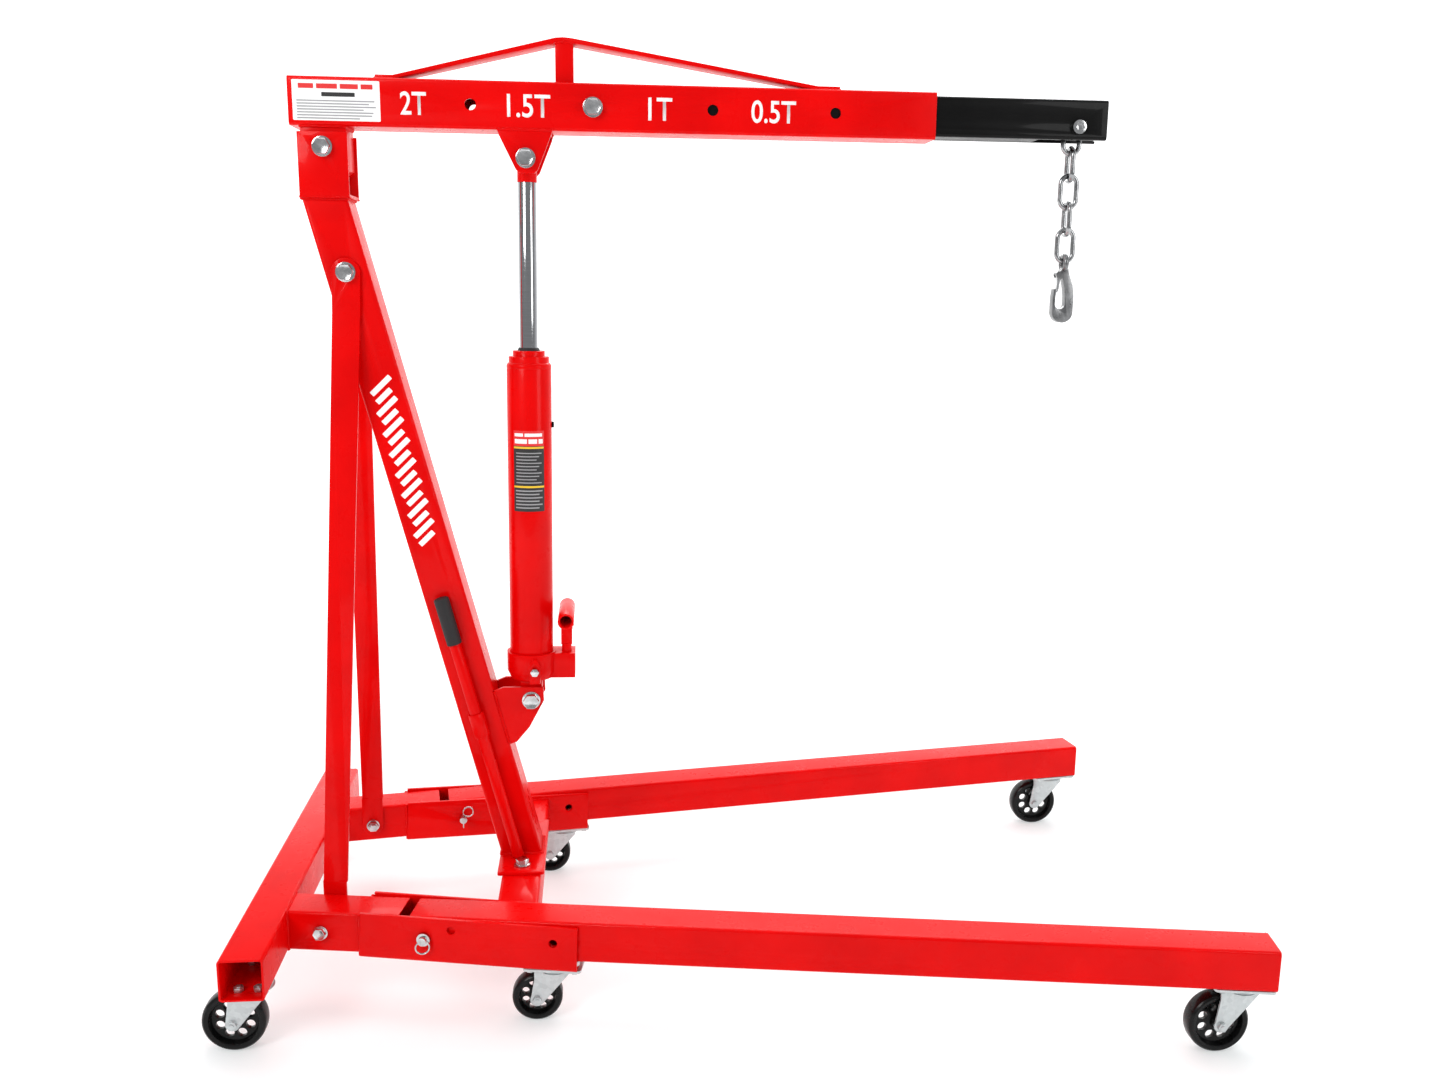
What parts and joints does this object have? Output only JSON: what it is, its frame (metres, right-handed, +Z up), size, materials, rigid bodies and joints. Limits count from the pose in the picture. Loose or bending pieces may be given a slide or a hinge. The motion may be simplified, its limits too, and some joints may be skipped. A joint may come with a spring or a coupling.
{
  "type": "engine hoist crane",
  "caption": "Folding workshop crane: splayed wheeled legs, leaning mast, hydraulic ram, telescopic jib boom with chain and hook.",
  "frame": {"origin": "on the floor, under the centre of the overall box", "axes": "+X towards the hook end, +Y to the crane's left seen from behind, +Z up"},
  "size_m": [1.5567, 0.9042, 1.459],
  "materials": {
    "red_paint": "gloss powder coat",
    "black_paint": "satin powder coat",
    "bright_zinc": "bright zinc plate",
    "caster_zinc": "zinc-plated pressed steel",
    "hard_chrome": "polished hard chrome",
    "wheel_iron": "gloss black paint on cast iron",
    "grip_rubber": "dull black",
    "forged_zinc": "zinc-plated forging"
  },
  "bodies": {
    "base_frame": {"rear_crossbeam": "red_paint", "right_stub": "red_paint", "left_stub": "red_paint", "front_crossmember": "red_paint", "right_channel": "red_paint", "left_channel": "red_paint", "mast": "red_paint", "mast_head": "red_paint", "mast_foot_plate": "red_paint", "ram_lower_bracket": "red_paint", "right_brace": "red_paint", "left_brace": "red_paint", "frame_bolts": "bright_zinc", "caster_plates": "caster_zinc", "leg_pins": "bright_zinc", "handle_clip": "red_paint"},
    "right_leg_body": {"right_leg": "red_paint", "right_front_plate": "caster_zinc"},
    "left_leg_body": {"left_leg": "red_paint", "left_front_plate": "caster_zinc"},
    "boom_pivot_body": {"boom_pivot_bolt": "bright_zinc"},
    "boom_body": {"boom_tube": "red_paint", "boom_lug": "red_paint", "boom_ram_bracket": "red_paint", "boom_truss": "red_paint", "boom_bolts": "bright_zinc"},
    "extension_body": {"boom_extension": "black_paint"},
    "chain_bolt_body": {"chain_bolt": "bright_zinc"},
    "link_1_body": {"chain_link_1": "bright_zinc"},
    "link_2_body": {"chain_link_2": "bright_zinc"},
    "link_3_body": {"chain_link_3": "bright_zinc"},
    "link_4_body": {"chain_link_4": "bright_zinc"},
    "link_5_body": {"chain_link_5": "bright_zinc"},
    "hook_body": {"hook": "forged_zinc"},
    "latch_body": {"hook_latch": "bright_zinc"},
    "ram_pin_body": {"ram_lower_bolt": "bright_zinc"},
    "ram_body": {"ram_base": "red_paint", "ram_cylinder": "red_paint", "ram_gland": "red_paint", "filler_plug": "black_paint"},
    "piston_body": {"ram_piston": "bright_zinc"},
    "rod_body": {"ram_rod": "hard_chrome", "ram_rod_eye": "red_paint"},
    "lever_body": {"pump_lever": "red_paint"},
    "plunger_body": {"pump_plunger": "red_paint"},
    "valve_body": {"release_valve": "bright_zinc"},
    "handle_body": {"handle_rod": "red_paint", "handle_grip": "grip_rubber"},
    "rear_right_fork_body": {"rear_right_fork": "caster_zinc"},
    "rear_right_wheel_body": {"rear_right_wheel": "wheel_iron"},
    "mid_right_fork_body": {"mid_right_fork": "caster_zinc"},
    "mid_right_wheel_body": {"mid_right_wheel": "wheel_iron"},
    "front_right_fork_body": {"front_right_fork": "caster_zinc"},
    "front_right_wheel_body": {"front_right_wheel": "wheel_iron"},
    "rear_left_fork_body": {"rear_left_fork": "caster_zinc"},
    "rear_left_wheel_body": {"rear_left_wheel": "wheel_iron"},
    "mid_left_fork_body": {"mid_left_fork": "caster_zinc"},
    "mid_left_wheel_body": {"mid_left_wheel": "wheel_iron"},
    "front_left_fork_body": {"front_left_fork": "caster_zinc"},
    "front_left_wheel_body": {"front_left_wheel": "wheel_iron"}
  },
  "joints": [
    {"name": "rear_right_swivel", "type": "hinge", "parent": "base_frame", "child": "rear_right_fork_body", "pos_m": [-0.70036, -0.302, 0.099], "axis": [0, 0, 1], "continuous": true},
    {"name": "rear_right_roll", "type": "hinge", "parent": "rear_right_fork_body", "child": "rear_right_wheel_body", "pos_m": [-0.73236, -0.302, 0.046], "axis": [0, 1, 0], "continuous": true},
    {"name": "mid_right_swivel", "type": "hinge", "parent": "base_frame", "child": "mid_right_fork_body", "pos_m": [-0.27239, -0.25428, 0.0834], "axis": [0, 0, 1], "continuous": true},
    {"name": "mid_right_roll", "type": "hinge", "parent": "mid_right_fork_body", "child": "mid_right_wheel_body", "pos_m": [-0.29939, -0.25428, 0.038], "axis": [0, 1, 0], "continuous": true},
    {"name": "front_right_swivel", "type": "hinge", "parent": "right_leg_body", "child": "front_right_fork_body", "pos_m": [0.72995, -0.41411, 0.099], "axis": [0, 0, 1], "continuous": true},
    {"name": "front_right_roll", "type": "hinge", "parent": "front_right_fork_body", "child": "front_right_wheel_body", "pos_m": [0.69795, -0.41411, 0.046], "axis": [0, 1, 0], "continuous": true},
    {"name": "right_leg_fold", "type": "hinge", "parent": "base_frame", "child": "right_leg_body", "pos_m": [-0.46002, -0.22436, 0.1385], "axis": [-0.1575, -0.9875, 0], "range_deg": [0, 90]},
    {"name": "rear_left_swivel", "type": "hinge", "parent": "base_frame", "child": "rear_left_fork_body", "pos_m": [-0.70036, 0.302, 0.099], "axis": [0, 0, 1], "continuous": true},
    {"name": "rear_left_roll", "type": "hinge", "parent": "rear_left_fork_body", "child": "rear_left_wheel_body", "pos_m": [-0.73236, 0.302, 0.046], "axis": [0, 1, 0], "continuous": true},
    {"name": "mid_left_swivel", "type": "hinge", "parent": "base_frame", "child": "mid_left_fork_body", "pos_m": [-0.27239, 0.25428, 0.0834], "axis": [0, 0, 1], "continuous": true},
    {"name": "mid_left_roll", "type": "hinge", "parent": "mid_left_fork_body", "child": "mid_left_wheel_body", "pos_m": [-0.29939, 0.25428, 0.038], "axis": [0, 1, 0], "continuous": true},
    {"name": "front_left_swivel", "type": "hinge", "parent": "left_leg_body", "child": "front_left_fork_body", "pos_m": [0.72995, 0.41411, 0.099], "axis": [0, 0, 1], "continuous": true},
    {"name": "front_left_roll", "type": "hinge", "parent": "front_left_fork_body", "child": "front_left_wheel_body", "pos_m": [0.69795, 0.41411, 0.046], "axis": [0, 1, 0], "continuous": true},
    {"name": "left_leg_fold", "type": "hinge", "parent": "base_frame", "child": "left_leg_body", "pos_m": [-0.46002, 0.22436, 0.1385], "axis": [0.1575, -0.9875, 0], "range_deg": [0, 90]},
    {"name": "boom_lower", "type": "hinge", "parent": "base_frame", "child": "boom_pivot_body", "pos_m": [-0.60376, 0, 1.293], "axis": [0, -1, 0], "range_deg": [-45, 0]},
    {"name": "boom_raise", "type": "hinge", "parent": "boom_pivot_body", "child": "boom_body", "pos_m": [-0.60376, 0, 1.293], "axis": [0, -1, 0], "range_deg": [0, 50]},
    {"name": "extension_slide", "type": "slide", "parent": "boom_body", "child": "extension_body", "axis": [1, 0, 0], "range_m": [-0.181, 0.3684]},
    {"name": "chain_plumb_low", "type": "hinge", "parent": "extension_body", "child": "chain_bolt_body", "pos_m": [0.54664, 0, 1.347], "axis": [0, -1, 0], "range_deg": [0, 45]},
    {"name": "chain_plumb_high", "type": "hinge", "parent": "chain_bolt_body", "child": "link_1_body", "pos_m": [0.54664, 0, 1.347], "axis": [0, -1, 0], "range_deg": [-50, 0]},
    {"name": "link_2_swing", "type": "hinge", "parent": "link_1_body", "child": "link_2_body", "pos_m": [0.54664, 0, 1.3176], "axis": [0, 1, 0], "range_deg": [-8, 8]},
    {"name": "link_3_swing", "type": "hinge", "parent": "link_2_body", "child": "link_3_body", "pos_m": [0.54664, 0, 1.2676], "axis": [0, 1, 0], "range_deg": [-8, 8]},
    {"name": "link_4_swing", "type": "hinge", "parent": "link_3_body", "child": "link_4_body", "pos_m": [0.54664, 0, 1.2342], "axis": [0, 1, 0], "range_deg": [-8, 8]},
    {"name": "link_5_swing", "type": "hinge", "parent": "link_4_body", "child": "link_5_body", "pos_m": [0.54664, 0, 1.1842], "axis": [0, 1, 0], "range_deg": [-8, 8]},
    {"name": "hook_swing", "type": "hinge", "parent": "link_5_body", "child": "hook_body", "pos_m": [0.54664, 0, 1.1513], "axis": [0, 1, 0], "range_deg": [-8, 8]},
    {"name": "latch_turn", "type": "hinge", "parent": "hook_body", "child": "latch_body", "pos_m": [0.53864, 0, 1.122], "axis": [0, -1, 0], "range_deg": [0, 20], "stiffness_Nm_per_rad": 0.02},
    {"name": "ram_tilt_low", "type": "hinge", "parent": "base_frame", "child": "ram_pin_body", "pos_m": [-0.31386, 0, 0.432], "axis": [0, -1, 0], "range_deg": [0, 8.26]},
    {"name": "ram_tilt_high", "type": "hinge", "parent": "ram_pin_body", "child": "ram_body", "pos_m": [-0.31386, 0, 0.432], "axis": [0, -1, 0], "range_deg": [0, 5.38]},
    {"name": "rod_slide_low", "type": "slide", "parent": "ram_body", "child": "piston_body", "axis": [0.0076, 0, 1], "range_m": [-0.2013, 0]},
    {"name": "rod_slide_high", "type": "slide", "parent": "piston_body", "child": "rod_body", "axis": [0.0076, 0, 1], "range_m": [0, 0.235]},
    {"name": "lever_pump", "type": "hinge", "parent": "ram_body", "child": "lever_body", "pos_m": [-0.25599, 0.02, 0.54556], "axis": [-1, 0, 0.0076], "range_deg": [-15, 25]},
    {"name": "plunger_slide", "type": "slide", "parent": "ram_body", "child": "plunger_body", "axis": [0.0076, 0, 1], "range_m": [-0.006, 0.009]},
    {"name": "valve_turn", "type": "hinge", "parent": "ram_body", "child": "valve_body", "pos_m": [-0.30646, -0.045, 0.48395], "axis": [0, 1, 0], "range_deg": [0, 90]},
    {"name": "handle_draw", "type": "slide", "parent": "base_frame", "child": "handle_body", "axis": [-0.2494, 0, 0.9684], "range_m": [0, 0.3]}
  ],
  "couplings": [
    {"joint": "ram_tilt_low", "follows": "boom_lower", "ratio": -0.18135},
    {"joint": "rod_slide_low", "follows": "boom_lower", "m_per_rad": 0.25565},
    {"joint": "ram_tilt_high", "follows": "boom_raise", "ratio": 0.10569},
    {"joint": "rod_slide_high", "follows": "boom_raise", "m_per_rad": 0.2687},
    {"joint": "chain_plumb_low", "follows": "boom_lower", "ratio": -1},
    {"joint": "chain_plumb_high", "follows": "boom_raise", "ratio": -1},
    {"joint": "plunger_slide", "follows": "lever_pump", "m_per_rad": 0.0195}
  ]
}
